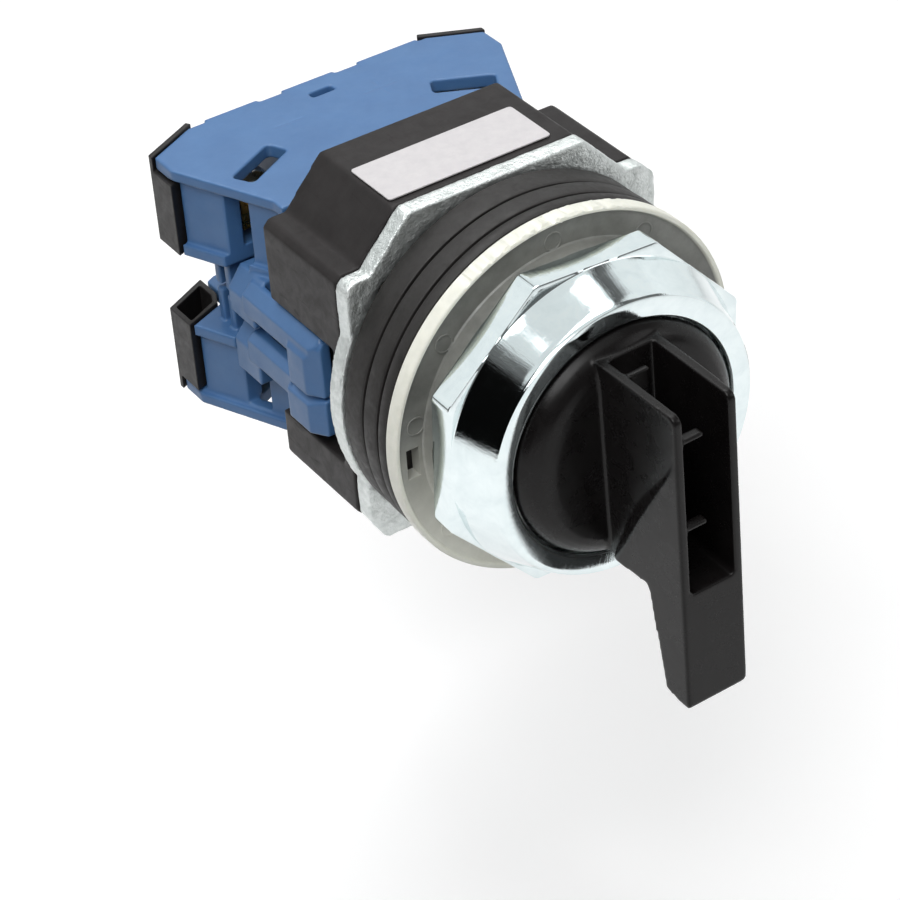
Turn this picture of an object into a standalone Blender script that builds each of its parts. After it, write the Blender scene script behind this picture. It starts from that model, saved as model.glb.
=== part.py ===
"""Lever selector switch for a 30.5 mm panel hole, with two snap-on contact blocks.

Frame: +X right seen from the operator's side, +Y into the cabinet, +Z up. The origin is on the
turning axis at the seat where the front ring and the gasket stack meet, which is where the panel
goes. Shapes are made in millimetres, and finish() turns each piece into Blender's metres.
"""

import math

import bmesh
import bpy
from mathutils import Matrix, Vector

MM = 0.001
GAP = 0.3                      # clearance between separate pieces that meet
WELD = 0.002                   # points closer than this are one point

# ---------------------------------------------------------------- driving dimensions
THREAD_R = 14.9                # M30 sleeve, crest radius
SLEEVE_FRONT = -12.0           # front end of the sleeve
SLEEVE_BORE_R = 12.0

RIM_FRONT = -13.1              # ring nut, foremost plane
RIM_R = 17.0                   # ring nut, radius of the front rim
LIP_R = 14.4                   # opening in the ring nut's front lip
CONE_R = 18.8                  # ring nut, radius where the cone meets the octagon
OCTAGON_R = 20.5               # ring nut, corner radius
OCTAGON_FRONT, OCTAGON_REAR = -7.7, -4.3
OCTAGON_TILT = -3.0            # degrees the tightened nut stands off square

WASHER_R = 22.2
GASKET_R = 22.0
STACK_BORE_R = THREAD_R + GAP  # bore of the washer and the gasket stack

FLANGE_FRONT, FLANGE_REAR = 8.9, 11.1
HOUSING_FRONT, HOUSING_REAR = FLANGE_REAR + GAP, 26.5
CAVITY_R, CAVITY_REAR = 13.2, 22.5

DRUM_R = 12.6
DRUM_FRONT, DRUM_REAR = 11.7, 17.0
RAMP_MID = 19.1                # height of both ramps under the plungers with the lever upright
RAMP_SPAN = 62.0               # degrees each side of a plunger
RAMP_RISE = 1.5 / 45.0         # millimetres per degree

LANE = 10.45                   # height of a plunger above (or below) the axis
BLOCK_FRONT, BLOCK_REAR = 26.9, 49.2
BLOCK_INNER, BLOCK_OUTER = 4.8, 16.1
BLOCK_HALF = 22.6
LID = 1.4                      # thickness of a contact block's outer plate
TERMINAL_X = 13.6

LEVER_HALF = 3.95              # lever, half width at its front face
BLADE_DRAFT = 0.014            # widening of the lever's upper walls for each millimetre to the rear
ARM_DRAFT = 0.09               # the same for the pads at the sides of the arm
LEVER_FRONT = -27.8
LEVER_TIP = -26.9

SIDES = (("left", -1), ("right", 1))
LEVELS = (("upper", 1), ("lower", -1))


# ---------------------------------------------------------------- scene and materials
def clear_scene():
    for obj in list(bpy.data.objects):
        bpy.data.objects.remove(obj, do_unlink=True)


def make_collection(name):
    collection = bpy.data.collections.new(name)
    bpy.context.scene.collection.children.link(collection)
    return collection


def make_material(name, colour, roughness, metallic=0.0):
    material = bpy.data.materials.new(name)
    material.use_nodes = True
    shader = material.node_tree.nodes["Principled BSDF"]
    shader.inputs["Base Color"].default_value = (*colour, 1.0)
    shader.inputs["Roughness"].default_value = roughness
    shader.inputs["Metallic"].default_value = metallic
    return material


clear_scene()
PARTS = make_collection("selector_switch")
MATERIALS = {
    "black": make_material("black_plastic", (0.02, 0.02, 0.02), 0.35),
    "housing": make_material("black_moulding", (0.035, 0.033, 0.033), 0.5),
    "rubber": make_material("black_rubber", (0.045, 0.043, 0.045), 0.7),
    "blue": make_material("blue_plastic", (0.11, 0.25, 0.5), 0.4),
    "white": make_material("natural_plastic", (0.62, 0.62, 0.58), 0.4),
    "label": make_material("label_film", (0.75, 0.74, 0.74), 0.45),
    "zinc": make_material("die_cast_zinc", (0.55, 0.57, 0.56), 0.55, 0.8),
    "chrome": make_material("chrome", (0.85, 0.86, 0.87), 0.06, 1.0),
    "steel": make_material("spring_steel", (0.5, 0.5, 0.5), 0.3, 1.0),
    "brass": make_material("brass", (0.7, 0.5, 0.2), 0.3, 1.0),
}


# ---------------------------------------------------------------- modelling helpers
def face_outwards(shape):
    bmesh.ops.recalc_face_normals(shape, faces=shape.faces)
    if shape.calc_volume(signed=True) < 0.0:
        bmesh.ops.reverse_faces(shape, faces=shape.faces)


def object_from(name, mesh_builder):
    """A new object whose mesh is the given bmesh, with faces turned outwards."""
    face_outwards(mesh_builder)
    mesh = bpy.data.meshes.new(name)
    mesh_builder.to_mesh(mesh)
    mesh_builder.free()
    obj = bpy.data.objects.new(name, mesh)
    PARTS.objects.link(obj)
    return obj


def bake(obj, orient=True):
    """Replace an object's modifiers or curve by the welded mesh that they evaluate to.

    Faces are turned outwards only where asked: a shape with a closed cavity keeps its own.
    """
    bpy.context.view_layer.update()
    evaluated = obj.evaluated_get(bpy.context.evaluated_depsgraph_get())
    mesh = bpy.data.meshes.new_from_object(evaluated)
    mesh.transform(obj.matrix_world)
    welded = bmesh.new()
    welded.from_mesh(mesh)
    bmesh.ops.remove_doubles(welded, verts=welded.verts, dist=WELD)
    bmesh.ops.dissolve_degenerate(welded, edges=welded.edges, dist=WELD)
    if orient:
        face_outwards(welded)
    welded.to_mesh(mesh)
    welded.free()
    name = obj.name
    bpy.data.objects.remove(obj, do_unlink=True)
    result = bpy.data.objects.new(name, mesh)
    result.name = name
    PARTS.objects.link(result)
    return result


def combine(target, tool, operation="DIFFERENCE"):
    modifier = target.modifiers.new("combine", "BOOLEAN")
    modifier.operation = operation
    modifier.solver = "EXACT"
    modifier.object = tool
    result = bake(target, orient=False)
    bpy.data.objects.remove(tool, do_unlink=True)
    return result


def cut(target, *tools):
    for tool in tools:
        target = combine(target, tool)
    return target


def join(target, *tools):
    for tool in tools:
        target = combine(target, tool, "UNION")
    return target


def box(low, high, name="tool"):
    shape = bmesh.new()
    bmesh.ops.create_cube(shape, size=1.0)
    low, high = Vector(low), Vector(high)
    bmesh.ops.scale(shape, vec=high - low, verts=shape.verts)
    bmesh.ops.translate(shape, vec=(low + high) / 2, verts=shape.verts)
    return object_from(name, shape)


def rod(start, end, radius, sides=32, end_radius=None, name="tool"):
    """A cylinder or cone from one point to another."""
    start, end = Vector(start), Vector(end)
    along = end - start
    shape = bmesh.new()
    bmesh.ops.create_cone(shape, cap_ends=True, segments=sides, radius1=radius,
                          radius2=radius if end_radius is None else end_radius, depth=along.length)
    turn = Vector((0, 0, 1)).rotation_difference(along).to_matrix().to_4x4()
    shape.transform(Matrix.Translation((start + end) / 2) @ turn)
    return object_from(name, shape)


def turned(profile, sides=64, name="tool"):
    """A solid of revolution about the Y axis from (radius, y) points.

    A profile that starts and ends on the axis makes a solid; any other is closed into a ring.
    """
    points = [Vector((radius, 0.0, -y)) for radius, y in profile]
    shape = bmesh.new()
    verts = [shape.verts.new(point) for point in points]
    for first, second in zip(verts, verts[1:]):
        shape.edges.new((first, second))
    if profile[0][0] > 0.0:
        shape.edges.new((verts[-1], verts[0]))
    obj = object_from(name, shape)
    screw = obj.modifiers.new("turn", "SCREW")
    screw.axis = "Z"
    screw.angle = 2 * math.pi
    screw.steps = screw.render_steps = sides
    screw.use_merge_vertices = True
    screw.merge_threshold = WELD / 20
    obj.rotation_euler = (math.pi / 2, 0.0, 0.0)
    return bake(obj)


PLANES = {                      # local x, local y and the extrusion direction of an outline
    "X": Matrix(((0, 0, 1, 0), (1, 0, 0, 0), (0, 1, 0, 0), (0, 0, 0, 1))),
    "Y": Matrix(((1, 0, 0, 0), (0, 0, -1, 0), (0, 1, 0, 0), (0, 0, 0, 1))),
    "Z": Matrix.Identity(4),
}


def prism(axis, low, high, *outlines, name="tool"):
    """Flat outlines (later ones are holes) extruded along an axis between two levels.

    Outline points are (x, z) for axis Y, (x, y) for axis Z and (y, z) for axis X.
    """
    curve = bpy.data.curves.new(name, "CURVE")
    curve.dimensions = "2D"
    curve.fill_mode = "BOTH"
    curve.extrude = (high - low) / 2
    for outline in outlines:
        spline = curve.splines.new("POLY")
        spline.points.add(len(outline) - 1)
        for point, (first, second) in zip(spline.points, outline):
            point.co = (first, second, 0.0, 1.0)
        spline.use_cyclic_u = True
    obj = bpy.data.objects.new(name, curve)
    PARTS.objects.link(obj)
    level = (low + high) / 2
    shift = {"X": (level, 0, 0), "Y": (0, level, 0), "Z": (0, 0, level)}[axis]
    obj.matrix_world = Matrix.Translation(shift) @ PLANES[axis]
    return bake(obj)


def arc(centre, radius, first, last, steps):
    """Points on an arc between two angles in degrees, both ends included."""
    angles = [math.radians(first + (last - first) * i / steps) for i in range(steps + 1)]
    return [(centre[0] + radius * math.cos(a), centre[1] + radius * math.sin(a)) for a in angles]


def spring(name, start, direction, length, radius, wire, turns, per_turn=8):
    """An open coil spring; start is the centre of its fixed end."""
    direction = Vector(direction).normalized()
    side = direction.orthogonal().normalized()
    other = direction.cross(side)
    count = int(turns * per_turn)
    curve = bpy.data.curves.new(name, "CURVE")
    curve.dimensions = "3D"
    curve.bevel_depth = wire / 2
    curve.bevel_resolution = 0
    curve.use_fill_caps = True
    spline = curve.splines.new("POLY")
    spline.points.add(count)
    for i, point in enumerate(spline.points):
        angle = 2 * math.pi * i / per_turn
        offset = side * math.cos(angle) * radius + other * math.sin(angle) * radius
        place = Vector(start) + direction * (length * i / count) + offset
        point.co = (*place, 1.0)
    obj = bpy.data.objects.new(name, curve)
    PARTS.objects.link(obj)
    return finish(bake(obj), name, "steel")


def finish(obj, name, material, origin=(0.0, 0.0, 0.0)):
    """Name a finished piece, bring it to metres, set its origin and give it its material."""
    obj.data.transform(Matrix.Scale(MM, 4) @ Matrix.Translation(-Vector(origin)))
    obj.location = Vector(origin) * MM
    obj.name = obj.data.name = name
    obj.data.materials.clear()
    obj.data.materials.append(MATERIALS[material])
    obj.data.shade_smooth()
    obj.data.set_sharp_from_angle(angle=math.radians(30))
    return obj


def flipped(points, side):
    """Mirror outline points in x for the left (-1) or right (1) side."""
    return [(side * x, y) for x, y in points]


def turned_over(obj, level):
    """The lower block is the upper one turned half a turn about the Y axis."""
    if level < 0:
        obj.data.transform(Matrix.Rotation(math.pi, 4, "Y"))
    return obj


# ---------------------------------------------------------------- lever, shaft and cam (turn together)
def drafted(obj, draft):
    """Set the half width of a slab that is two millimetres thick, wider to the rear by a draft."""
    for vert in obj.data.vertices:
        vert.co.x *= LEVER_HALF + draft * (vert.co.y - LEVER_FRONT)
    return obj


def lever_handle():
    hub = turned([(0, -15.1), (10.4, -15.1), (12.3, -14.75), (13.4, -14.0), (14.0, -13.1),
                  (14.1, -12.3), (11.6, -12.3), (11.6, -9.2), (10.2, -9.2),
                  (10.2, -7.4), (11.6, -7.4), (11.6, -5.0), (0, -5.0)], sides=40)
    crown = 12.6               # top of the blade, level with the hub
    tail = [(-24.1, -25.5), (-22.5, -14.8), (-22.3, -13.2), (-21.8, -12.2)]
    blade_outline = [(-13.6, crown), (LEVER_FRONT + 1.0, crown)]
    blade_outline += arc((LEVER_FRONT + 1.0, crown - 1.0), 1.0, 90, 180, 4)[1:]
    blade_outline += [(LEVER_FRONT, LEVER_TIP + 0.6), (LEVER_FRONT + 0.6, LEVER_TIP)]
    blade_outline += tail + [(-15.6, -12.5), (-13.6, -12.5)]
    blade = drafted(prism("X", -1, 1, blade_outline), BLADE_DRAFT)
    arm_outline = [(LEVER_FRONT + 0.4, 6.6), (LEVER_FRONT, 6.0), (LEVER_FRONT, LEVER_TIP + 0.6),
                   (LEVER_FRONT + 0.6, LEVER_TIP)] + tail + [(-16.8, -12.0), (-21.4, -3.4)]
    arm = drafted(prism("X", -1, 1, arm_outline), ARM_DRAFT)
    body = join(hub, blade, arm)
    channel_half, floor, end, rib_end = 2.9, -15.1, -10.9, -0.1
    channel = prism("Y", LEVER_FRONT - 1, floor,
                    [(-channel_half, 14.5), (-channel_half, end + 0.4), (-channel_half + 0.4, end),
                     (channel_half - 0.4, end), (channel_half, end + 0.4), (channel_half, 14.5)])
    socket = box((-3.6, -14.2, -3.6), (3.6, -4.0, 3.6))
    body = cut(body, channel, socket)
    for height in (8.9, -2.4):
        rib = box((-channel_half - 0.3, LEVER_FRONT + 0.3, height - 0.3),
                  (rib_end, LEVER_FRONT + 1.6, height + 0.3))
        body = join(body, rib)
    top_rib = box((-channel_half - 0.3, -18.6, 9.0), (rib_end, -17.7, crown - 0.2))
    body = join(body, top_rib)
    return finish(body, "lever_handle", "black")


def operator_shaft():
    core = turned([(0, -4.9), (7.5, -4.9), (7.5, -3.4), (5.0, -3.4), (5.0, 0.9), (4.1, 0.9),
                   (4.1, 2.1), (5.0, 2.1), (5.0, 3.3), (2.8, 3.3), (2.8, 25.6), (0, 25.6)], sides=24)
    front = box((-3.3, -13.9, -3.3), (3.3, -4.0, 3.3))
    rear = box((-3.0, 2.9, -3.0), (3.0, DRUM_REAR, 3.0))
    return finish(join(core, front, rear), "operator_shaft", "black")


def shaft_seal_ring():
    section = [(11.1 + 0.62 * math.cos(a), -8.3 + 0.62 * math.sin(a))
               for a in [2 * math.pi * i / 6 for i in range(6)]]
    return finish(turned(section, sides=32), "shaft_seal_ring", "rubber")


def shaft_circlip():
    outline = arc((0, 0), 6.6, -60, 240, 16) + arc((0, 0), 4.4, 240, -60, 16)
    return finish(prism("Y", 1.1, 1.9, outline), "shaft_circlip", "steel")


def ramp(mid_angle, slope):
    """A helical ramp sector on the drum's rear face, the same rise for every degree."""
    steps, inner, outer, base = 10, 8.3, 12.4, DRUM_REAR - 0.6
    shape = bmesh.new()
    sections = []
    for i in range(steps + 1):
        offset = -RAMP_SPAN + 2 * RAMP_SPAN * i / steps
        angle = math.radians(mid_angle + offset)
        top = RAMP_MID + slope * offset
        corners = ((inner, base), (outer, base), (outer, top), (inner, top))
        sections.append([shape.verts.new((r * math.cos(angle), y, r * math.sin(angle)))
                         for r, y in corners])
    for first, second in zip(sections, sections[1:]):
        for i in range(4):
            j = (i + 1) % 4
            shape.faces.new((first[i], first[j], second[j], second[i]))
    shape.faces.new(sections[0])
    shape.faces.new(reversed(sections[-1]))
    return object_from("tool", shape)


def cam_drum():
    """Detent notches round the side at every lever position; opposed ramps for the two plungers."""
    drum = rod((0, DRUM_FRONT, 0), (0, DRUM_REAR, 0), DRUM_R, sides=48)
    drum = join(drum, ramp(90, RAMP_RISE), ramp(270, -RAMP_RISE))
    drum = cut(drum, box((-3.3, DRUM_FRONT - 1, -3.3), (3.3, DRUM_REAR + 6, 3.3)))
    notch_side, notch_depth = 3.0, 0.9
    for angle in (45, 90, 135, 225, 270, 315):
        centre_r = DRUM_R - notch_depth + notch_side / math.sqrt(2)
        notch = box((-notch_side / 2, DRUM_FRONT - 1, -notch_side / 2),
                    (notch_side / 2, DRUM_REAR - 1.0, notch_side / 2))
        a = math.radians(angle)
        place = Matrix.Translation(Vector((math.cos(a), 0, math.sin(a))) * centre_r)
        notch.data.transform(place @ Matrix.Rotation(math.radians(45 - angle), 4, "Y"))
        drum = cut(drum, notch)
    return finish(drum, "cam_drum", "white")


# ---------------------------------------------------------------- operator body and front hardware
def flange_outline():
    """Outline (x, z) of the zinc flange: flat top, corner ears and round flanks."""
    bulge_r, left, right = 22.1, -20.0, 20.6
    def flank(edge, z):
        return math.degrees(math.atan2(z, math.copysign(math.sqrt(bulge_r**2 - z**2), edge)))
    right_flank = arc((0, 0), bulge_r, flank(right, -9.6), flank(right, 9.0), 8)
    left_flank = arc((0, 0), bulge_r, flank(left, 9.4), 360 + flank(left, -10.1), 8)
    return ([(11.5, 22.1), (-11.5, 22.1), (-16.6, 16.6), (-16.9, 16.2), (-19.2, 16.2),
             (left, 15.3), (left, 9.9)] + left_flank
            + [(left + 0.2, -10.7), (left + 0.2, -15.0), (-17.7, -18.5), (17.7, -18.5),
               (right - 0.2, -15.0), (right - 0.2, -10.3)] + right_flank
            + [(right, 9.6), (right, 14.6), (18.9, 16.2), (16.9, 16.2), (16.6, 16.6)])


def operator_body():
    """Zinc casting: rear flange, threaded sleeve with a keyway, and a web that carries the shaft."""
    flange = prism("Y", FLANGE_FRONT, FLANGE_REAR, flange_outline())
    sleeve = turned([(0, SLEEVE_FRONT), (THREAD_R - 0.6, SLEEVE_FRONT), (THREAD_R, SLEEVE_FRONT + 0.6),
                     (THREAD_R, FLANGE_FRONT + 0.8), (0, FLANGE_FRONT + 0.8)], sides=48)
    body = join(flange, sleeve)
    keyway = box((-1.8, SLEEVE_FRONT - 1, 13.5), (1.8, FLANGE_FRONT, 16.0))
    body = cut(body, rod((0, SLEEVE_FRONT - 1, 0), (0, -3.1, 0), SLEEVE_BORE_R, sides=40),
               rod((0, 0.6, 0), (0, FLANGE_REAR + 1, 0), 11.0, sides=32),
               rod((0, -4, 0), (0, 2, 0), 5.3, sides=24), keyway)
    for x, z in SCREW_PLACES:
        body = cut(body, rod((x, FLANGE_FRONT - 1, z), (x, FLANGE_REAR + 1, z), 1.4, sides=16))
    return finish(body, "operator_body", "zinc")


def ring_nut():
    octagon = [(OCTAGON_R * math.cos(a), OCTAGON_R * math.sin(a))
               for a in [math.radians(22.5 + OCTAGON_TILT + 45 * i) for i in range(8)]]
    nut = prism("Y", OCTAGON_FRONT, OCTAGON_REAR, octagon)
    cone = turned([(0, RIM_FRONT), (RIM_R - 0.4, RIM_FRONT), (RIM_R, RIM_FRONT + 0.4),
                   (CONE_R, OCTAGON_FRONT), (CONE_R - 0.3, OCTAGON_FRONT + 1.5),
                   (0, OCTAGON_FRONT + 1.5)], sides=56)
    nut = join(nut, cone)
    nut = cut(nut, rod((0, RIM_FRONT + 0.8, 0), (0, OCTAGON_REAR + 1, 0), STACK_BORE_R, sides=56),
              rod((0, RIM_FRONT - 1, 0), (0, RIM_FRONT + 1.2, 0), LIP_R, sides=56))
    return finish(nut, "ring_nut", "chrome")


def anti_rotation_washer():
    """Natural plastic ring with a raised inner hub, a bead round its rim and a key."""
    bore, hub = STACK_BORE_R, 18.3
    ring = turned([(bore, OCTAGON_REAR + GAP), (hub, OCTAGON_REAR + GAP), (hub + 0.2, -1.9),
                   (WASHER_R - 1.5, -1.9), (WASHER_R - 1.4, -2.3), (WASHER_R - 0.2, -2.3),
                   (WASHER_R, -2.1), (WASHER_R, -GAP), (bore, -GAP)], sides=56)
    key = box((-1.5, OCTAGON_REAR + GAP + 0.3, 13.9), (1.5, -GAP - 0.2, 16.4))
    ring = join(ring, key)
    slot = box((-20.6, -3.0, -2.6), (-19.0, 1.0, 1.2))
    return finish(cut(ring, slot), "anti_rotation_washer", "white")


def stack_ring(name, material, front, rear, radius):
    """One ring of the stack between the panel and the flange."""
    ring = turned([(STACK_BORE_R, front), (radius, front), (radius, rear), (STACK_BORE_R, rear)], sides=48)
    return finish(ring, name, material)


# ---------------------------------------------------------------- rear housing
SCREW_PLACES = ((-14.6, 13.6), (14.6, -13.6))
SCREW_R, SCREW_HEAD_R = 1.1, 2.0


def housing():
    outline = [(11.7, 21.7), (-11.7, 21.7), (-16.4, 16.5), (-16.8, 16.0), (-19.0, 16.0),
               (-19.8, 15.2), (-19.8, -15.4), (-19.0, -16.2), (-17.2, -18.3), (17.2, -18.3),
               (19.0, -16.2), (19.8, -15.4), (19.8, 15.2), (19.0, 16.0), (16.8, 16.0),
               (16.4, 16.5)]
    body = prism("Y", HOUSING_FRONT, HOUSING_REAR, outline)
    body = cut(body, rod((0, HOUSING_FRONT - 1, 0), (0, CAVITY_REAR, 0), CAVITY_R, sides=48),
               rod((0, CAVITY_REAR - 1, 0), (0, HOUSING_REAR + 1, 0), 3.1, sides=32))
    for _, level in LEVELS:
        slot = sorted((level * (LANE - 1.85), level * (LANE + 1.85)))
        body = cut(body, box((-1.85, CAVITY_REAR - 1, slot[0]), (1.85, HOUSING_REAR + 1, slot[1])),
                   rod((0, 13.8, level * 12.0), (0, 13.8, level * 17.5), 2.1, sides=24))
    recess_depth = 17.8        # each side is cut back for the latch arms of both blocks
    body = cut(body, box((-25, 13.4, -9.6), (-recess_depth, HOUSING_REAR + 1, 5.6)),
               box((recess_depth, 13.4, -5.6), (25, HOUSING_REAR + 1, 9.6)))
    for x, z in SCREW_PLACES:
        body = cut(body, rod((x, HOUSING_FRONT - 1, z), (x, HOUSING_REAR + 1, z), 1.4, sides=16),
                   rod((x, 24.4, z), (x, HOUSING_REAR + 1, z), 2.3, sides=20))
    return finish(body, "housing", "housing")


def housing_screw(name, x, z):
    """Slotted screw from the rear that clamps the housing to the flange."""
    screw = turned([(0, FLANGE_FRONT + 0.3), (SCREW_R, FLANGE_FRONT + 0.3), (SCREW_R, 24.7),
                    (SCREW_HEAD_R, 24.7), (SCREW_HEAD_R, 25.9), (1.6, 26.3), (0, 26.3)], sides=12)
    screw = cut(screw, box((-3, 25.7, -0.3), (3, 27.0, 0.3)))
    screw.data.transform(Matrix.Translation((x, 0, z)))
    return finish(screw, name, "steel")


def rating_label():
    return finish(box((-11.5, 12.6, 21.85), (9.6, 20.5, 22.0)), "rating_label", "label")


def detent_pin(name, level):
    """A conical pin drawn clear of the drum's lobes; it drops 0.5 mm into a notch."""
    y, tip = 13.8, DRUM_R + 0.15
    pin = turned([(0, tip), (0.35, tip), (1.75, tip + 1.4), (1.75, 15.0), (0, 15.0)], sides=12)
    pin.data.transform(Matrix.Translation((0, y, 0)) @ Matrix.Rotation(math.radians(90 * level), 4, "X"))
    return finish(pin, name, "steel", origin=(0, y, level * tip))


# ---------------------------------------------------------------- plungers and contacts
def plunger(name, level):
    """Stem, cage for the moving contact and rear spring pin."""
    low, high = LANE - 1.5, LANE + 1.5
    body = box((-1.5, RAMP_MID + 0.65, low), (1.5, 30.0, high))
    cage = box((-2.2, 29.5, LANE - 2.2), (2.2, 35.7, LANE + 2.2))
    window = box((-3, 30.7, LANE - 1.45), (3, 34.5, LANE + 1.45))
    tail = rod((0, 35.2, LANE), (0, 38.4, LANE), 0.95, sides=12)
    obj = turned_over(cut(join(body, cage, tail), window), level)
    return finish(obj, name, "white", origin=(0, 30, level * LANE))


def contact_bridge(name, level):
    bar = box((-7.6, 33.4, LANE - 1.1), (7.6, 34.2, LANE + 1.1))
    for _, side in SIDES:
        bar = join(bar, rod((side * 6.3, 34.0, LANE), (side * 6.3, 34.8, LANE), 1.0, sides=10))
    return finish(turned_over(bar, level), name, "brass", origin=(0, 30, level * LANE))


def fixed_contact(name, side, level):
    """Strip from the fixed contact to the terminal screw, with a clearance hole for it."""
    x_low, x_high = sorted((side * 5.2, side * 16.8))
    strip = box((x_low, 36.9, LANE - 2.2), (x_high, 37.9, LANE + 2.2))
    strip = join(strip, rod((side * 6.3, 36.6, LANE), (side * 6.3, 37.2, LANE), 1.0, sides=10))
    strip = cut(strip, rod((side * TERMINAL_X, 36, LANE), (side * TERMINAL_X, 39, LANE), 1.9, sides=14))
    return finish(turned_over(strip, level), name, "brass")


def terminal_screw(name, side, level):
    """Cross-slotted pan head screw that draws the clamp plate up against the wire."""
    x = side * TERMINAL_X
    screw = turned([(0, 31.6), (1.6, 31.6), (1.6, 40.0), (2.9, 40.0), (2.9, 42.0),
                    (2.5, 42.4), (0, 42.4)], sides=14)
    screw = cut(screw, box((-4, 41.4, -0.45), (4, 43, 0.45)), box((-0.45, 41.4, -1.8), (0.45, 43, 1.8)))
    screw.data.transform(Matrix.Translation((x, 0, LANE)))
    return finish(turned_over(screw, level), name, "steel")


def clamp_plate(name, side, level):
    x = side * TERMINAL_X
    plate = box((x - 1.95, 32.0, LANE - 3.3), (x + 1.95, 33.1, LANE + 3.3))
    plate = cut(plate, rod((x, 31, LANE), (x, 34, LANE), 1.75, sides=14))
    return finish(turned_over(plate, level), name, "steel")


# ---------------------------------------------------------------- contact blocks
def block_outline(inset):
    """Plan (x, y) of a block; the inset moves the slanted wiring faces inwards."""
    right = [(16.9 - inset, BLOCK_FRONT), (16.9 - inset, 28.9), (BLOCK_HALF - inset, 41.8),
             (BLOCK_HALF, 42.6), (BLOCK_HALF, 45.5), (15.4, BLOCK_REAR)]
    return right + [(-x, y) for x, y in reversed(right)]


CORNER_HOLLOW = ((26.0, 40.0), (17.7, 43.5), (16.6, 45.6), (16.6, 51.0), (26.0, 51.0))


def side_box(side, x_low, x_high, y_low, y_high, z_low, z_high):
    """A box at the left (-1) or right (+1) of the block, x counted outwards."""
    low, high = sorted((side * x_low, side * x_high))
    return box((low, y_low, z_low), (high, y_high, z_high))


def bar(side, y_low, y_high, inner, outer, z_low, z_high, slope, from_below=False):
    """A bar along Y whose outer upper (or lower) corner is cut off by a slope (x, z)."""
    if from_below:
        section = [(inner, z_high), (outer, z_high), (outer, z_low + slope[1]), (outer - slope[0], z_low),
                   (inner, z_low)]
    else:
        section = [(inner, z_low), (outer, z_low), (outer, z_high - slope[1]), (outer - slope[0], z_high),
                   (inner, z_high)]
    return prism("Y", y_low, y_high, flipped(section, side))


def latch_arms():
    """The snap arms of one block: the left one with its hook level with the axis, the right one above."""
    left = join(bar(-1, 17.0, 32.0, 18.6, 20.6, 1.1, 5.0, (1.3, 1.4)),
                bar(-1, 16.4, 22.0, 18.4, 21.0, -2.7, 4.6, (1.6, 2.4)),
                bar(-1, 30.0, 35.4, 16.6, 20.5, -0.2, 5.4, (1.9, 2.6)))
    right = join(bar(1, 22.4, 32.0, 18.6, 20.6, 1.7, 5.4, (0.9, 0.8), True),
                 bar(1, 16.4, 22.9, 18.4, 21.0, 3.1, 7.9, (1.5, 0.9), True),
                 bar(1, 30.0, 35.2, 16.6, 20.5, 1.6, 8.0, (1.9, 2.4), True))
    lead_in = [(21.5, 18.4), (21.0, 18.4), (19.5, 16.0), (21.5, 16.0)]
    return [cut(arm, prism("Z", -5, 10, flipped(lead_in, side))) for side, arm in ((-1, left), (1, right))]


def contact_block(name, level):
    body = prism("Z", BLOCK_INNER + 0.5, BLOCK_OUTER - LID + 0.2, block_outline(0.8))
    lid = prism("Z", BLOCK_OUTER - LID, BLOCK_OUTER, block_outline(0.0))
    foot = prism("Z", BLOCK_INNER, BLOCK_INNER + 1.5, block_outline(0.0))
    body = join(body, lid, foot)
    floor, roof, below = 6.4, BLOCK_OUTER - LID - 0.3, BLOCK_INNER - 1
    chamber = box((-9.5, 27.7, floor), (9.5, 43.5, roof))
    stem_slot = box((-1.85, BLOCK_FRONT - 1, LANE - 1.85), (1.85, 28.5, LANE + 1.85))
    body = cut(body, chamber, stem_slot)
    for _, side in SIDES:
        body = cut(body,
                   side_box(side, 11.3, 15.9, 31.3, 37.0, 6.8, roof),             # clamp plate
                   side_box(side, 11.3, 17.2, 34.6, 37.0, 6.8, roof),             # end of the strip
                   side_box(side, 11.3, 26.0, 33.1, 36.2, below, roof),           # wire entry
                   side_box(side, 9.0, 11.6, 36.6, 38.2, LANE - 2.5, LANE + 2.5),  # strip passage
                   side_box(side, 10.2, 17.2, 36.5, 51.0, 6.8, roof),             # screw access
                   prism("Z", below, 14.5, flipped(CORNER_HOLLOW, side)))
        window = [(17.9, 36.2), (16.5, 33.7), (9.9, 37.3), (11.1, 39.8)]
        body = cut(body, prism("Z", roof - 0.6, BLOCK_OUTER + 1, flipped(window, side)))
    body = join(body, *latch_arms())
    for _, side in SIDES:
        for rib in (37.3, 39.7):
            body = join(body, side_box(side, 14.5, 19.2, rib, rib + 1.2, 0.35, BLOCK_INNER + 0.2))
    return finish(turned_over(body, level), name, "blue")


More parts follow.
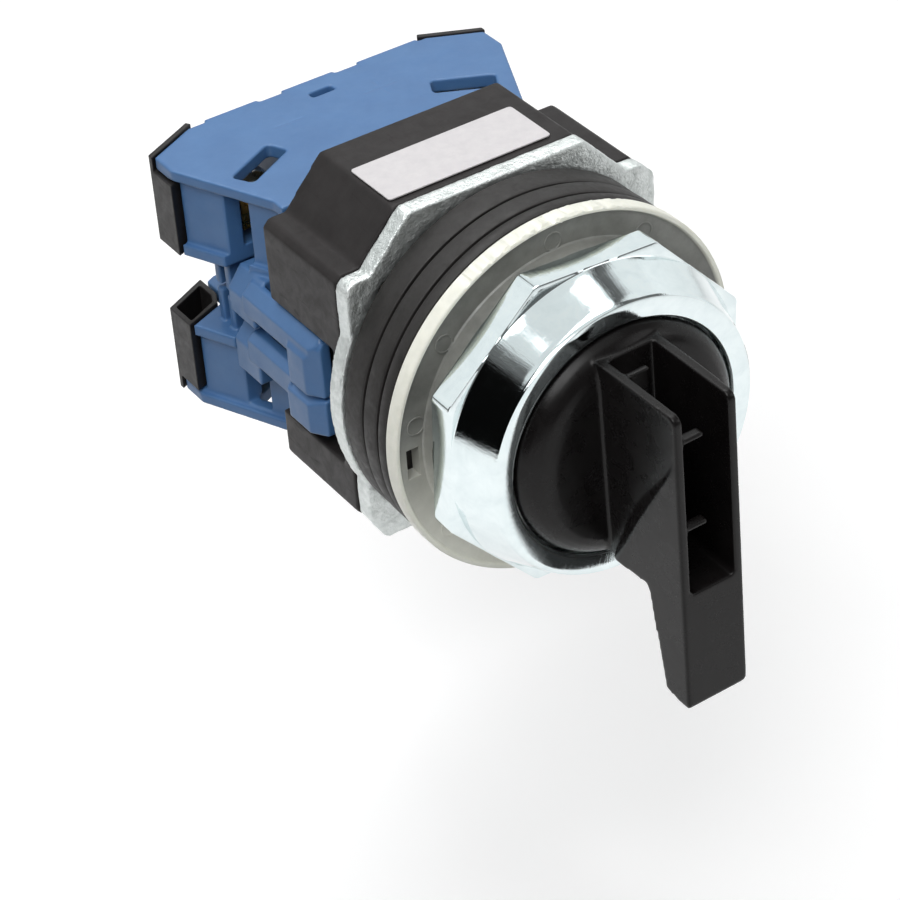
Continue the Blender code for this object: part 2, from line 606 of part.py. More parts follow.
def end_cover(name, side, level):
    """Black cover round a block's rear corner, cut away for the screwdriver."""
    rear_end, corner = (15.4, BLOCK_REAR), (BLOCK_HALF, 45.5)
    slope = (corner[1] - rear_end[1]) / (corner[0] - rear_end[0])
    def beside(x, distance):
        """A point at this x, the given distance outside the block's slanted rear face."""
        return x, rear_end[1] + slope * (x - rear_end[0]) + distance * math.hypot(1.0, slope)
    start, edge, wall = 15.6, BLOCK_HALF + GAP, 0.7
    plate = [beside(start + 0.35, wall + GAP), beside(start, GAP), beside(edge, GAP),
             beside(edge, wall + GAP)]
    skirt = [beside(17.0, wall + GAP), (17.0, 45.7), (17.9, 43.8), (edge, 41.7),
             beside(edge, wall + GAP)]
    pocket = [beside(17.7, GAP), (17.7, 45.7), (18.3, 44.4), (edge - wall, 42.5),
              beside(edge - wall, GAP)]
    cover = join(prism("Z", BLOCK_INNER, BLOCK_OUTER, flipped(plate, side)),
                 prism("Z", BLOCK_INNER, 14.2, flipped(skirt, side)))
    cover = cut(cover, prism("Z", BLOCK_INNER - 1, 13.4, flipped(pocket, side)))
    x = side * TERMINAL_X
    cover = cut(cover, rod((x, 44, LANE), (x, 52, LANE), 3.2, sides=20),
                side_box(side, 15.0, 17.0, 44, 52, BLOCK_INNER - 1, 8.0))
    return finish(turned_over(cover, level), name, "black")


def lock_clip():
    """U-shaped clip that fits between the blocks and keeps them from being unlatched."""
    half, height = 12.5, 2.2
    base = box((-half, 45.6, -height), (half, 48.8, height))
    groove = box((-half + 2.5, 48.2, -0.7), (half - 2.5, 49.5, 0.7))
    body = cut(base, groove)
    left = box((-half, 31.5, -height + 0.4), (-half + 1.0, 46.0, height - 0.4))
    right = box((half - 1.0, 31.5, -0.6), (half, 46.0, 0.6))
    wall = box((half - 1.2, 37.0, -height), (half, 46.0, height))
    finger = box((half - 5.6, 38.6, -0.9), (half - 4.2, 46.0, 0.9))
    knob = rod((half - 5.1, 38.8, -0.9), (half - 5.1, 38.8, 0.9), 1.1, sides=20)
    gusset = prism("Z", -0.8, 0.8, [(-half + 0.5, 41.5), (-half + 0.5, 46.0), (-half + 5.0, 46.0),
                                    (-half + 2.6, 43.6)])
    return finish(join(body, left, right, wall, finger, knob, gusset), "lock_clip", "white",
                  origin=(0, 47, 0))


# ---------------------------------------------------------------- assembly
def build():
    lever_handle()
    operator_shaft()
    shaft_seal_ring()
    shaft_circlip()
    cam_drum()
    operator_body()
    ring_nut()
    anti_rotation_washer()
    stack_ring("panel_gasket", "rubber", 0.0, 1.7, GASKET_R + 0.1)
    stack_ring("spacer_ring_thin", "rubber", 2.0, 4.7, GASKET_R)
    stack_ring("spacer_ring_thick", "rubber", 5.0, FLANGE_FRONT - GAP, GASKET_R - 0.1)
    housing()
    for hand, (x, z) in zip(("left", "right"), SCREW_PLACES):
        housing_screw(f"housing_screw_{hand}", x, z)
    rating_label()
    lock_clip()
    for word, level in LEVELS:
        detent_pin(f"detent_pin_{word}", level)
        spring(f"detent_spring_{word}", (0, 13.8, level * 17.2), (0, 0, -level), 1.9, 1.3, 0.3, 3)
        plunger(f"plunger_{word}", level)
        contact_bridge(f"contact_bridge_{word}", level)
        spring(f"contact_spring_{word}", (0, 30.9, level * LANE), (0, 1, 0), 2.2, 0.9, 0.25, 3)
        spring(f"return_spring_{word}", (0, 43.2, level * LANE), (0, -1, 0), 7.1, 1.6, 0.35, 5)
        contact_block(f"contact_block_{word}", level)
        for hand, side in SIDES:
            fixed_contact(f"fixed_contact_{word}_{hand}", side, level)
            terminal_screw(f"terminal_screw_{word}_{hand}", side, level)
            clamp_plate(f"clamp_plate_{word}_{hand}", side, level)
            end_cover(f"end_cover_{word}_{hand}", side, level)


build()
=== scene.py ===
"""Detailed look of the lever selector switch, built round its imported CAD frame.

Frame: +X right seen from the operator's side, +Y into the cabinet, +Z up, in metres. Shapes are
made here in millimetres, and show() turns each piece into metres and puts it on its CAD body.
"""

import math

import bmesh
import bpy
from mathutils import Matrix, Vector, noise


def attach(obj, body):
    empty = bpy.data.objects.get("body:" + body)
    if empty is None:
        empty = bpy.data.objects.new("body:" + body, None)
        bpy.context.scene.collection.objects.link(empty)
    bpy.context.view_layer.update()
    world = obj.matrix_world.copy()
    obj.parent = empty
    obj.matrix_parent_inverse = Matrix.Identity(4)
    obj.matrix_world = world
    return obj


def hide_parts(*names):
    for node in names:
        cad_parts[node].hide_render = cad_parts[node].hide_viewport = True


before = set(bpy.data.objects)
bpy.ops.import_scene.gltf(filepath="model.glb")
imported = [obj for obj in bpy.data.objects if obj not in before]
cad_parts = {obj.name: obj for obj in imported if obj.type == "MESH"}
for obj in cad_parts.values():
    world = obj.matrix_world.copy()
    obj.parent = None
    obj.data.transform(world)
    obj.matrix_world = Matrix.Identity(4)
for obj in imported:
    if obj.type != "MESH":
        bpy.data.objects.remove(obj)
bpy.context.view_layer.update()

MM = 0.001
WELD = 0.002
SIDES = (("left", -1), ("right", 1))
LEVELS = (("upper", 1), ("lower", -1))


# ================================================================ materials
def srgb(red, green, blue):
    """A colour from 8-bit display values."""
    def linear(value):
        value /= 255
        return value / 12.92 if value <= 0.04045 else ((value + 0.055) / 1.055) ** 2.4
    return (linear(red), linear(green), linear(blue), 1.0)


def add(tree, kind, inputs=None, **settings):
    """A new shader node; an input may be a value or another node's output."""
    made = tree.nodes.new(kind)
    for key, value in settings.items():
        setattr(made, key, value)
    for key, value in (inputs or {}).items():
        if isinstance(value, bpy.types.NodeSocket):
            tree.links.new(value, made.inputs[key])
        else:
            made.inputs[key].default_value = value
    return made


def field(tree, where, size, detail=4.0, rough=0.6, distortion=0.0):
    """Noise whose features are about this many millimetres across."""
    return add(tree, "ShaderNodeTexNoise", {"Vector": where, "Scale": 1 / (size * MM), "Detail": detail,
                                            "Roughness": rough, "Distortion": distortion}).outputs[0]


def mapped(tree, value, low, high, to_low=0.0, to_high=1.0):
    return add(tree, "ShaderNodeMapRange", {"Value": value, "From Min": low, "From Max": high,
                                            "To Min": to_low, "To Max": to_high}).outputs[0]


def maths(tree, operation, first, second=0.0):
    return add(tree, "ShaderNodeMath", {0: first, 1: second}, operation=operation).outputs[0]


def mixed(tree, share, first, second):
    return add(tree, "ShaderNodeMix", {0: share, 6: first, 7: second}, data_type="RGBA").outputs[2]


def stretched(tree, where, scale):
    return add(tree, "ShaderNodeMapping", {"Vector": where, "Scale": scale}).outputs[0]


def bumped(tree, height, depth, normal=None):
    """A bump of this depth in millimetres."""
    inputs = {"Height": height, "Distance": depth * MM}
    if normal is not None:
        inputs["Normal"] = normal
    return add(tree, "ShaderNodeBump", inputs).outputs[0]


def edge_mask(tree, where, low, high, patch):
    """Convex edges, worn unevenly over patches of this size."""
    point = add(tree, "ShaderNodeNewGeometry").outputs["Pointiness"]
    return maths(tree, "MULTIPLY", mapped(tree, point, low, high),
                 mapped(tree, field(tree, where, patch), 0.35, 0.62, 0.15, 1.0))


def new_material(name):
    material = bpy.data.materials.new(name)
    material.use_nodes = True
    tree = material.node_tree
    where = add(tree, "ShaderNodeTexCoord").outputs["Object"]
    return material, tree, tree.nodes["Principled BSDF"], where


def surface(name, colour, varied, rough, metallic=0.0, mottle=2.0, smear=3.0, fine=(0.12, 0.002),
            broad=(3.0, 0.01), wear=None, scratches=0.0, specular=0.5, subsurface=0.0):
    """A moulded, cast or drawn finish: mottled colour, uneven gloss, grain, waviness and wear."""
    material, tree, shader, where = new_material(name)
    patches = mapped(tree, field(tree, where, mottle, 6.0, 0.65), 0.3, 0.7)
    tone = mixed(tree, patches, colour, varied)
    gloss = mapped(tree, field(tree, where, smear, 6.0, 0.6, 0.6), 0.3, 0.7, *rough)
    if wear:
        mask = maths(tree, "MULTIPLY", edge_mask(tree, where, 0.515, 0.57, 1.2), wear[1])
        tone = mixed(tree, mask, tone, wear[0])
    if scratches:
        lines = field(tree, stretched(tree, where, (1.0, 0.06, 0.35)), 0.25, 3.0, 0.5, 0.4)
        marks = mapped(tree, lines, 0.64, 0.7)
        gloss = maths(tree, "ADD", gloss, maths(tree, "MULTIPLY", marks, scratches))
    normal = bumped(tree, field(tree, where, fine[0], 3.0), fine[1])
    normal = bumped(tree, field(tree, where, broad[0], 3.0), broad[1], normal)
    tree.links.new(tone, shader.inputs["Base Color"])
    tree.links.new(gloss, shader.inputs["Roughness"])
    tree.links.new(normal, shader.inputs["Normal"])
    shader.inputs["Metallic"].default_value = metallic
    shader.inputs["Specular IOR Level"].default_value = specular
    if subsurface:
        shader.inputs["Subsurface Weight"].default_value = subsurface
        shader.inputs["Subsurface Radius"].default_value = (1.0, 0.95, 0.8)
        shader.inputs["Subsurface Scale"].default_value = 0.8 * MM
    return material


def chrome_material():
    """Bright plate over a turned cone: fine axial streaks, circular marks and faint haze."""
    material, tree, shader, where = new_material("bright_chrome")
    split = add(tree, "ShaderNodeSeparateXYZ", {"Vector": where}).outputs
    angle = maths(tree, "ARCTAN2", split["Z"], split["X"])
    radius = maths(tree, "SQRT", maths(tree, "ADD", maths(tree, "MULTIPLY", split["X"], split["X"]),
                                       maths(tree, "MULTIPLY", split["Z"], split["Z"])))
    round_and_along = add(tree, "ShaderNodeCombineXYZ", {"X": maths(tree, "MULTIPLY", angle, 9.0),
                                                         "Y": maths(tree, "MULTIPLY", split["Y"], 60.0)})
    streaks = add(tree, "ShaderNodeTexNoise", {"Vector": round_and_along.outputs[0], "Scale": 5.0,
                                               "Detail": 5.0, "Roughness": 0.7}).outputs[0]
    rings = add(tree, "ShaderNodeTexNoise", {"W": radius, "Scale": 9000.0,
                                             "Detail": 2.0}, noise_dimensions="1D").outputs[0]
    haze = field(tree, where, 2.5, 6.0, 0.65, 0.4)
    gloss = maths(tree, "ADD", mapped(tree, haze, 0.35, 0.75, 0.02, 0.10),
                  mapped(tree, streaks, 0.55, 0.75, 0.0, 0.06))
    tone = mixed(tree, mapped(tree, haze, 0.4, 0.8), srgb(226, 235, 236), srgb(212, 223, 225))
    normal = bumped(tree, streaks, 0.010)
    normal = bumped(tree, rings, 0.0004, normal)
    normal = bumped(tree, field(tree, where, 4.0, 2.0), 0.012, normal)
    tree.links.new(tone, shader.inputs["Base Color"])
    tree.links.new(gloss, shader.inputs["Roughness"])
    tree.links.new(normal, shader.inputs["Normal"])
    shader.inputs["Metallic"].default_value = 1.0
    return material


def washer_material():
    """Thin natural plastic: creamy where thick at the rim, grey where the thin part lets the dark through;
    painted bounce light makes the thin part lighter towards the bottom, and a painted glow lights the rim and
    the lower thin part.
    """
    material, tree, shader, where = new_material("translucent_ring")
    split = add(tree, "ShaderNodeSeparateXYZ", {"Vector": where}).outputs
    flat = add(tree, "ShaderNodeCombineXYZ", {"X": split["X"], "Z": split["Z"]}).outputs[0]
    radius = add(tree, "ShaderNodeVectorMath", {0: flat}, operation="LENGTH").outputs["Value"]
    # painted bounce light: the Z term makes the thin part lighter towards the bottom, standing in for light
    # thrown up from below
    thin_share_with_painted_bounce = maths(tree, "MULTIPLY", mapped(tree, radius, 21.65 * MM, 21.4 * MM),
                mapped(tree, split["Z"], -14 * MM, 4 * MM, 0.15, 1.0))
    cloudy = mapped(tree, field(tree, where, 2.2, 5.0, 0.6), 0.3, 0.7)
    rim = mixed(tree, cloudy, srgb(226, 226, 216), srgb(210, 211, 200))
    thin = mixed(tree, cloudy, srgb(142, 143, 138), srgb(120, 121, 117))
    tone = mixed(tree, thin_share_with_painted_bounce, rim, thin)
    gloss = mapped(tree, field(tree, where, 1.5, 5.0, 0.6), 0.3, 0.7, 0.28, 0.48)
    normal = bumped(tree, field(tree, where, 0.25, 3.0), 0.004)
    normal = bumped(tree, field(tree, where, 2.5, 3.0), 0.02, normal)
    painted_glow = mixed(tree, thin_share_with_painted_bounce, srgb(226, 226, 216), srgb(30, 30, 28))   # painted glow: cream emission on the rim and lower thin part, standing in for light coming through the plastic
    tree.links.new(tone, shader.inputs["Base Color"])
    tree.links.new(painted_glow, shader.inputs["Emission Color"])
    shader.inputs["Emission Strength"].default_value = 0.22
    tree.links.new(gloss, shader.inputs["Roughness"])
    tree.links.new(normal, shader.inputs["Normal"])
    shader.inputs["Subsurface Weight"].default_value = 0.35
    shader.inputs["Subsurface Radius"].default_value = (1.0, 0.95, 0.8)
    shader.inputs["Subsurface Scale"].default_value = 0.7 * MM
    return material


LOOKS = {
    "lever_plastic": surface("black_semi_gloss", srgb(14, 12, 12), srgb(20, 18, 18), (0.22, 0.36),
                             mottle=4.0, smear=2.5, fine=(0.15, 0.0012), broad=(5.0, 0.012),
                             specular=0.2),
    "housing_plastic": surface("black_moulding", srgb(34, 31, 31), srgb(44, 41, 41), (0.36, 0.55),
                               mottle=3.0, smear=2.0, fine=(0.10, 0.004), broad=(4.0, 0.02),
                               scratches=0.1, specular=0.2),
    "cover_plastic": surface("black_cover", srgb(30, 28, 28), srgb(42, 40, 40), (0.38, 0.58),
                             mottle=1.5, smear=1.5, fine=(0.10, 0.004), broad=(2.0, 0.015),
                             specular=0.3),
    "blue_plastic": surface("blue_moulding", srgb(77, 119, 168), srgb(69, 110, 159), (0.34, 0.50),
                            mottle=5.0, smear=3.0, fine=(0.12, 0.003), broad=(4.0, 0.02),
                            subsurface=0.08),
    "natural_plastic": surface("natural_moulding", srgb(214, 212, 200), srgb(200, 198, 186), (0.35, 0.5),
                               subsurface=0.3),
    "washer_plastic": washer_material(),
    "clip_plastic": surface("white_moulding", srgb(228, 231, 227), srgb(218, 222, 218), (0.35, 0.55),
                            mottle=3.0, smear=2.0, fine=(0.12, 0.003), broad=(3.0, 0.02), subsurface=0.35),
    "label_film": surface("label_paper", srgb(212, 209, 210), srgb(202, 199, 201), (0.38, 0.55),
                          mottle=1.2, smear=2.0, fine=(0.08, 0.0015), broad=(6.0, 0.02)),
    "rubber": surface("moulded_rubber", srgb(29, 27, 26), srgb(42, 40, 39), (0.45, 0.7),
                      mottle=1.5, smear=1.5, fine=(0.10, 0.006), broad=(2.0, 0.03), specular=0.4),
    "die_cast_zinc": surface("rough_zinc_casting", srgb(226, 230, 229), srgb(196, 202, 200), (0.32, 0.55),
                             metallic=0.85, mottle=0.8, smear=1.0, fine=(0.3, 0.09), broad=(1.0, 0.14)),
    "chrome": chrome_material(),
    "spring_steel": surface("drawn_wire", srgb(190, 188, 184), srgb(165, 163, 160), (0.22, 0.4),
                            metallic=1.0, mottle=0.6, smear=0.8, fine=(0.05, 0.002), broad=(0.6, 0.004)),
    "screw_steel": surface("plated_steel", srgb(205, 200, 186), srgb(188, 180, 160), (0.22, 0.42),
                           metallic=1.0, mottle=0.8, smear=0.8, fine=(0.06, 0.002), broad=(0.8, 0.006),
                           wear=(srgb(230, 228, 222), 0.6), scratches=0.15),
    "brass": surface("contact_brass", srgb(206, 168, 96), srgb(184, 142, 74), (0.22, 0.42),
                     metallic=1.0, mottle=0.8, smear=0.8, fine=(0.06, 0.002), broad=(1.0, 0.005)),
}


# ================================================================ modelling helpers
def object_from(name, shape, orient=True):
    """A new object from a bmesh, with faces turned outwards."""
    if orient:
        bmesh.ops.recalc_face_normals(shape, faces=shape.faces)
        if shape.calc_volume(signed=True) < 0.0:
            bmesh.ops.reverse_faces(shape, faces=shape.faces)
    mesh = bpy.data.meshes.new(name)
    shape.to_mesh(mesh)
    shape.free()
    obj = bpy.data.objects.new(name, mesh)
    bpy.context.scene.collection.objects.link(obj)
    return obj


def bake(obj, orient=True, weld=WELD):
    """Replace an object's modifiers or curve by the mesh that they evaluate to."""
    bpy.context.view_layer.update()
    evaluated = obj.evaluated_get(bpy.context.evaluated_depsgraph_get())
    mesh = bpy.data.meshes.new_from_object(evaluated)
    mesh.transform(obj.matrix_world)
    name = obj.name
    bpy.data.objects.remove(obj, do_unlink=True)
    shape = bmesh.new()
    shape.from_mesh(mesh)
    bpy.data.meshes.remove(mesh)
    if weld:
        bmesh.ops.remove_doubles(shape, verts=shape.verts, dist=weld)
        bmesh.ops.dissolve_degenerate(shape, edges=shape.edges, dist=weld)
    return object_from(name, shape, orient)


def combine(target, tool, operation="DIFFERENCE"):
    modifier = target.modifiers.new("combine", "BOOLEAN")
    modifier.operation = operation
    modifier.solver = "EXACT"
    modifier.object = tool
    result = bake(target, orient=False)
    bpy.data.objects.remove(tool, do_unlink=True)
    return result


def cut(target, *tools):
    for tool in tools:
        target = combine(target, tool)
    return target


def join(target, *tools):
    for tool in tools:
        target = combine(target, tool, "UNION")
    return target


def box(low, high):
    shape = bmesh.new()
    bmesh.ops.create_cube(shape, size=1.0)
    low, high = Vector(low), Vector(high)
    bmesh.ops.scale(shape, vec=high - low, verts=shape.verts)
    bmesh.ops.translate(shape, vec=(low + high) / 2, verts=shape.verts)
    return object_from("tool", shape)


def side_box(side, x_low, x_high, y_low, y_high, z_low, z_high):
    """A box given for the right side, mirrored in x for the left."""
    low, high = sorted((side * x_low, side * x_high))
    return box((low, y_low, z_low), (high, y_high, z_high))


def rod(start, end, radius, sides=64, end_radius=None):
    start, end = Vector(start), Vector(end)
    along = end - start
    shape = bmesh.new()
    bmesh.ops.create_cone(shape, cap_ends=True, segments=sides, radius1=radius,
                          radius2=radius if end_radius is None else end_radius, depth=along.length)
    turn = Vector((0, 0, 1)).rotation_difference(along).to_matrix().to_4x4()
    shape.transform(Matrix.Translation((start + end) / 2) @ turn)
    return object_from("tool", shape)


def loft(rings, closed=True):
    """Skin rings of equally many points; closed joins the last ring to the first, or caps both ends."""
    shape = bmesh.new()
    rows = [[shape.verts.new(point) for point in ring] for ring in rings]
    pairs = list(zip(rows, rows[1:])) + ([(rows[-1], rows[0])] if closed else [])
    for first, second in pairs:
        for i in range(len(first)):
            j = (i + 1) % len(first)
            shape.faces.new((first[i], first[j], second[j], second[i]))
    if not closed:
        shape.faces.new(rows[0])
        shape.faces.new(reversed(rows[-1]))
    return object_from("tool", shape)


def round_axis(profile, sides=128, closed=True):
    """A turned solid about the Y axis. A profile point is (radius, y), and the radius may be a
    function of the angle in radians."""
    angles = [2 * math.pi * i / sides for i in range(sides)]
    def radius_at(radius, angle):
        return radius(angle) if callable(radius) else radius
    rings = [[(radius_at(r, a) * math.cos(a), y, radius_at(r, a) * math.sin(a)) for a in angles]
             for r, y in profile]
    return loft(rings, closed)


PLANES = {
    "X": Matrix(((0, 0, 1, 0), (1, 0, 0, 0), (0, 1, 0, 0), (0, 0, 0, 1))),
    "Y": Matrix(((1, 0, 0, 0), (0, 0, -1, 0), (0, 1, 0, 0), (0, 0, 0, 1))),
    "Z": Matrix.Identity(4),
}


def prism(axis, low, high, *outlines):
    """Flat outlines (later ones are holes) extruded along an axis between two levels.

    Outline points are (x, z) for axis Y, (x, y) for axis Z and (y, z) for axis X.
    """
    curve = bpy.data.curves.new("tool", "CURVE")
    curve.dimensions = "2D"
    curve.fill_mode = "BOTH"
    curve.extrude = (high - low) / 2
    for outline in outlines:
        spline = curve.splines.new("POLY")
        spline.points.add(len(outline) - 1)
        for point, (first, second) in zip(spline.points, outline):
            point.co = (first, second, 0.0, 1.0)
        spline.use_cyclic_u = True
    obj = bpy.data.objects.new("tool", curve)
    bpy.context.scene.collection.objects.link(obj)
    level = (low + high) / 2
    shift = {"X": (level, 0, 0), "Y": (0, level, 0), "Z": (0, 0, level)}[axis]
    obj.matrix_world = Matrix.Translation(shift) @ PLANES[axis]
    return bake(obj)


def arc(centre, radius, first, last, steps):
    angles = [math.radians(first + (last - first) * i / steps) for i in range(steps + 1)]
    return [(centre[0] + radius * math.cos(a), centre[1] + radius * math.sin(a)) for a in angles]


def rounded(points, radius, steps=5):
    """An outline with its corners rounded, less where its sides are short."""
    points = [Vector(p) for p in points]
    result = []
    for i, corner in enumerate(points):
        before, after = points[i - 1] - corner, points[(i + 1) % len(points)] - corner
        angle = before.angle(after)
        reach = min(radius / math.tan(angle / 2), 0.45 * before.length, 0.45 * after.length)
        if reach < 0.05 or angle > math.radians(172):
            result.append(tuple(corner))
            continue
        start, end = corner + before.normalized() * reach, corner + after.normalized() * reach
        for step in range(steps + 1):
            t = step / steps
            result.append(tuple(start.lerp(corner, t).lerp(corner.lerp(end, t), t)))
    return result


def flipped(points, side):
    return [(side * x, y) for x, y in points]


def softened(obj, voxel, passes, keep, cast=None):
    """Rounds every edge of a solid, as a moulding has, then thins out its flat areas.

    cast, if given, is the depth of a casting's uneven skin.
    """
    remesh = obj.modifiers.new("voxels", "REMESH")
    remesh.mode, remesh.voxel_size, remesh.adaptivity = "VOXEL", voxel, 0.0
    smooth = obj.modifiers.new("smooth", "SMOOTH")
    smooth.factor, smooth.iterations = 0.5, passes
    if cast:
        for size, share in ((1.6, 1.0), (0.5, 0.45)):
            texture = bpy.data.textures.new("skin", "CLOUDS")
            texture.noise_scale, texture.noise_depth = size, 2
            skin = obj.modifiers.new("skin", "DISPLACE")
            skin.texture, skin.texture_coords = texture, "LOCAL"
            skin.strength, skin.mid_level = cast * share, 0.5
    thin = obj.modifiers.new("thin", "DECIMATE")
    thin.ratio = keep
    return bake(obj, orient=False, weld=0.0)


def bevelled(obj, width, segments=2, angle=32.0):
    """Rounds the sharp edges of a solid by a bevel."""
    bevel = obj.modifiers.new("bevel", "BEVEL")
    bevel.width, bevel.segments = width, segments
    bevel.limit_method, bevel.angle_limit = "ANGLE", math.radians(angle)
    bevel.use_clamp_overlap = True
    bevel.miter_outer = "MITER_ARC"
    return bake(obj, orient=False, weld=0.0)


def show(obj, name, look, body, nodes=(), level=1, sharp=None):
    """Name a piece made in millimetres, bring it to metres, finish it and put it on its body."""
    if level < 0:
        obj.data.transform(Matrix.Rotation(math.pi, 4, "Y"))
    obj.data.transform(Matrix.Scale(MM, 4))
    obj.name = obj.data.name = name
    obj.data.materials.clear()
    obj.data.materials.append(LOOKS[look])
    obj.data.shade_smooth()
    if sharp:
        obj.data.set_sharp_from_angle(angle=math.radians(sharp))
    even = obj.modifiers.new("even_shading", "WEIGHTED_NORMAL")
    even.keep_sharp = bool(sharp)
    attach(obj, body)
    if nodes:
        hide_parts(*nodes)
    return obj


# ================================================================ lever
LEVER_HALF, LEVER_FRONT, LEVER_TIP = 3.95, -27.8, -26.9
BLADE_DRAFT, ARM_DRAFT = 0.014, 0.09
LEVER_PLAY = -1.5              # degrees the lever is turned off upright


def drafted(obj, draft, inset=0.0):
    """Set the half width of a slab that is two millimetres thick, wider to the rear by a draft."""
    for vert in obj.data.vertices:
        vert.co.x *= LEVER_HALF - inset + draft * (vert.co.y - LEVER_FRONT)
    return obj


def corner_cutter(side, x, z, radius):
    """Takes the square corner off the lever's lower end, leaving a round one."""
    low = [(x + 1, z - 1), (x + 1, z + radius), (x, z + radius)]
    low += arc((x - radius, z + radius), radius, 0, -90, 10)[1:] + [(x - radius, z - 1)]
    return prism("Y", LEVER_FRONT - 1, -20, flipped(low, side))


def lever_handle():
    hub = round_axis([(0.01, -15.1), (10.4, -15.1), (11.4, -15.0), (12.3, -14.75), (13.0, -14.3),
                      (13.5, -13.8), (13.9, -13.2), (14.1, -12.6), (14.1, -12.3), (11.6, -12.3),
                      (11.6, -9.2), (10.2, -9.2), (10.2, -7.4), (11.6, -7.4), (11.6, -5.0),
                      (0.01, -5.0)], closed=False)
    crown = 12.6
    tail = [(-24.1, -25.5), (-22.5, -14.8), (-22.3, -13.2), (-21.8, -12.2)]
    outline = [(-13.6, crown), (LEVER_FRONT + 1.0, crown)]
    outline += arc((LEVER_FRONT + 1.0, crown - 1.0), 1.0, 90, 180, 8)[1:]
    outline += [(LEVER_FRONT, LEVER_TIP + 0.6), (LEVER_FRONT + 0.6, LEVER_TIP)]
    outline += tail + [(-15.6, -12.5), (-13.6, -12.5)]
    blade = drafted(prism("X", -1, 1, outline), BLADE_DRAFT)
    body = join(hub, blade)
    for run_out in (0.0, 0.45, 0.9):   # the pads fade into the blade over a slope
        arm_outline = [(LEVER_FRONT + 0.4, 6.6 + run_out), (LEVER_FRONT, 6.0 + run_out),
                       (LEVER_FRONT, LEVER_TIP + 0.6), (LEVER_FRONT + 0.6, LEVER_TIP)] + tail
        arm_outline += [(-16.8 + 0.8 * run_out, -12.0), (-21.4 + 0.9 * run_out, -3.4 + 0.5 * run_out)]
        body = join(body, drafted(prism("X", -1, 1, arm_outline), ARM_DRAFT, 0.35 * run_out))
    half, floor, end, rib_end = 2.9, -15.1, -10.9, -0.1
    channel = prism("Y", LEVER_FRONT - 1, floor,
                    [(-half, 14.5), (-half, end + 0.4), (-half + 0.4, end), (half - 0.4, end),
                     (half, end + 0.4), (half, 14.5)])
    body = cut(body, channel, box((-3.6, -14.2, -3.6), (3.6, -4.0, 3.6)),
               corner_cutter(1, LEVER_HALF, LEVER_TIP, 1.4), corner_cutter(-1, LEVER_HALF, LEVER_TIP, 0.7))
    for height in (8.9, -2.4):
        body = join(body, box((-half - 0.3, LEVER_FRONT + 0.35, height - 0.3),
                              (rib_end, LEVER_FRONT + 1.6, height + 0.3)))
    body = join(body, box((-half - 0.3, -18.6, 9.0), (rib_end, -17.7, crown - 0.2)))
    body = softened(body, 0.19, 5, 0.35)
    body.data.transform(Matrix.Rotation(math.radians(LEVER_PLAY), 4, "Y"))
    show(body, "lever_grip", "lever_plastic", "lever", ["lever_handle"])


# ================================================================ front ring nut
RIM_FRONT, RIM_R, LIP_R, CONE_R = -13.1, 17.0, 14.4, 18.8
OCTAGON_R, OCTAGON_FRONT, OCTAGON_REAR, OCTAGON_TILT = 20.5, -7.7, -4.3, -3.0
STACK_BORE_R = 15.2
PITCH = 1.5


def octagon_radius(angle, inset=0.0):
    """Radius of the octagon's outline at an angle, its corners just taken off."""
    flat_r = OCTAGON_R * math.cos(math.radians(22.5))
    nearest = (angle - math.radians(OCTAGON_TILT) + math.pi / 8) % (math.pi / 4) - math.pi / 8
    radius = min(flat_r / math.cos(nearest), OCTAGON_R - 0.1)
    return radius - min(inset, 0.7 * (radius - CONE_R))


def ring_nut():
    def inset(amount):
        return lambda angle: octagon_radius(angle, amount)
    def threaded(y):
        return lambda angle: (STACK_BORE_R + 0.35 * 2 * abs((y / PITCH + angle / (2 * math.pi)) % 1 - 0.5))
    profile = [(STACK_BORE_R + 0.5, OCTAGON_REAR), (inset(0.35), OCTAGON_REAR),
               (inset(0.1), OCTAGON_REAR - 0.1), (inset(0.0), OCTAGON_REAR - 0.35),
               (inset(0.0), OCTAGON_FRONT + 0.3), (inset(0.05), OCTAGON_FRONT + 0.1),
               (inset(0.28), OCTAGON_FRONT), (CONE_R + 0.1, OCTAGON_FRONT),
               (CONE_R, OCTAGON_FRONT - 0.08)]
    profile += [(CONE_R + (RIM_R - CONE_R) * i / 8, OCTAGON_FRONT + (RIM_FRONT + 0.5 - OCTAGON_FRONT) * i / 8)
                for i in range(1, 9)]
    profile += [(RIM_R - 0.05, RIM_FRONT + 0.25), (RIM_R - 0.18, RIM_FRONT + 0.08), (RIM_R - 0.4, RIM_FRONT),
                (RIM_R - 0.9, RIM_FRONT), (LIP_R + 0.4, RIM_FRONT), (LIP_R + 0.15, RIM_FRONT + 0.05),
                (LIP_R, RIM_FRONT + 0.2), (LIP_R, RIM_FRONT + 0.6), (LIP_R + 0.1, RIM_FRONT + 0.8),
                (STACK_BORE_R, RIM_FRONT + 0.8)]
    steps = 32
    first, last = RIM_FRONT + 0.85, OCTAGON_REAR - 0.5
    profile += [(threaded(first + (last - first) * i / steps), first + (last - first) * i / steps)
                for i in range(steps + 1)]
    show(round_axis(profile, 480), "ring_nut_chromed", "chrome", "nut", ["ring_nut"], sharp=28)


# ================================================================ anti-rotation washer and ring stack
WASHER_R = 22.2


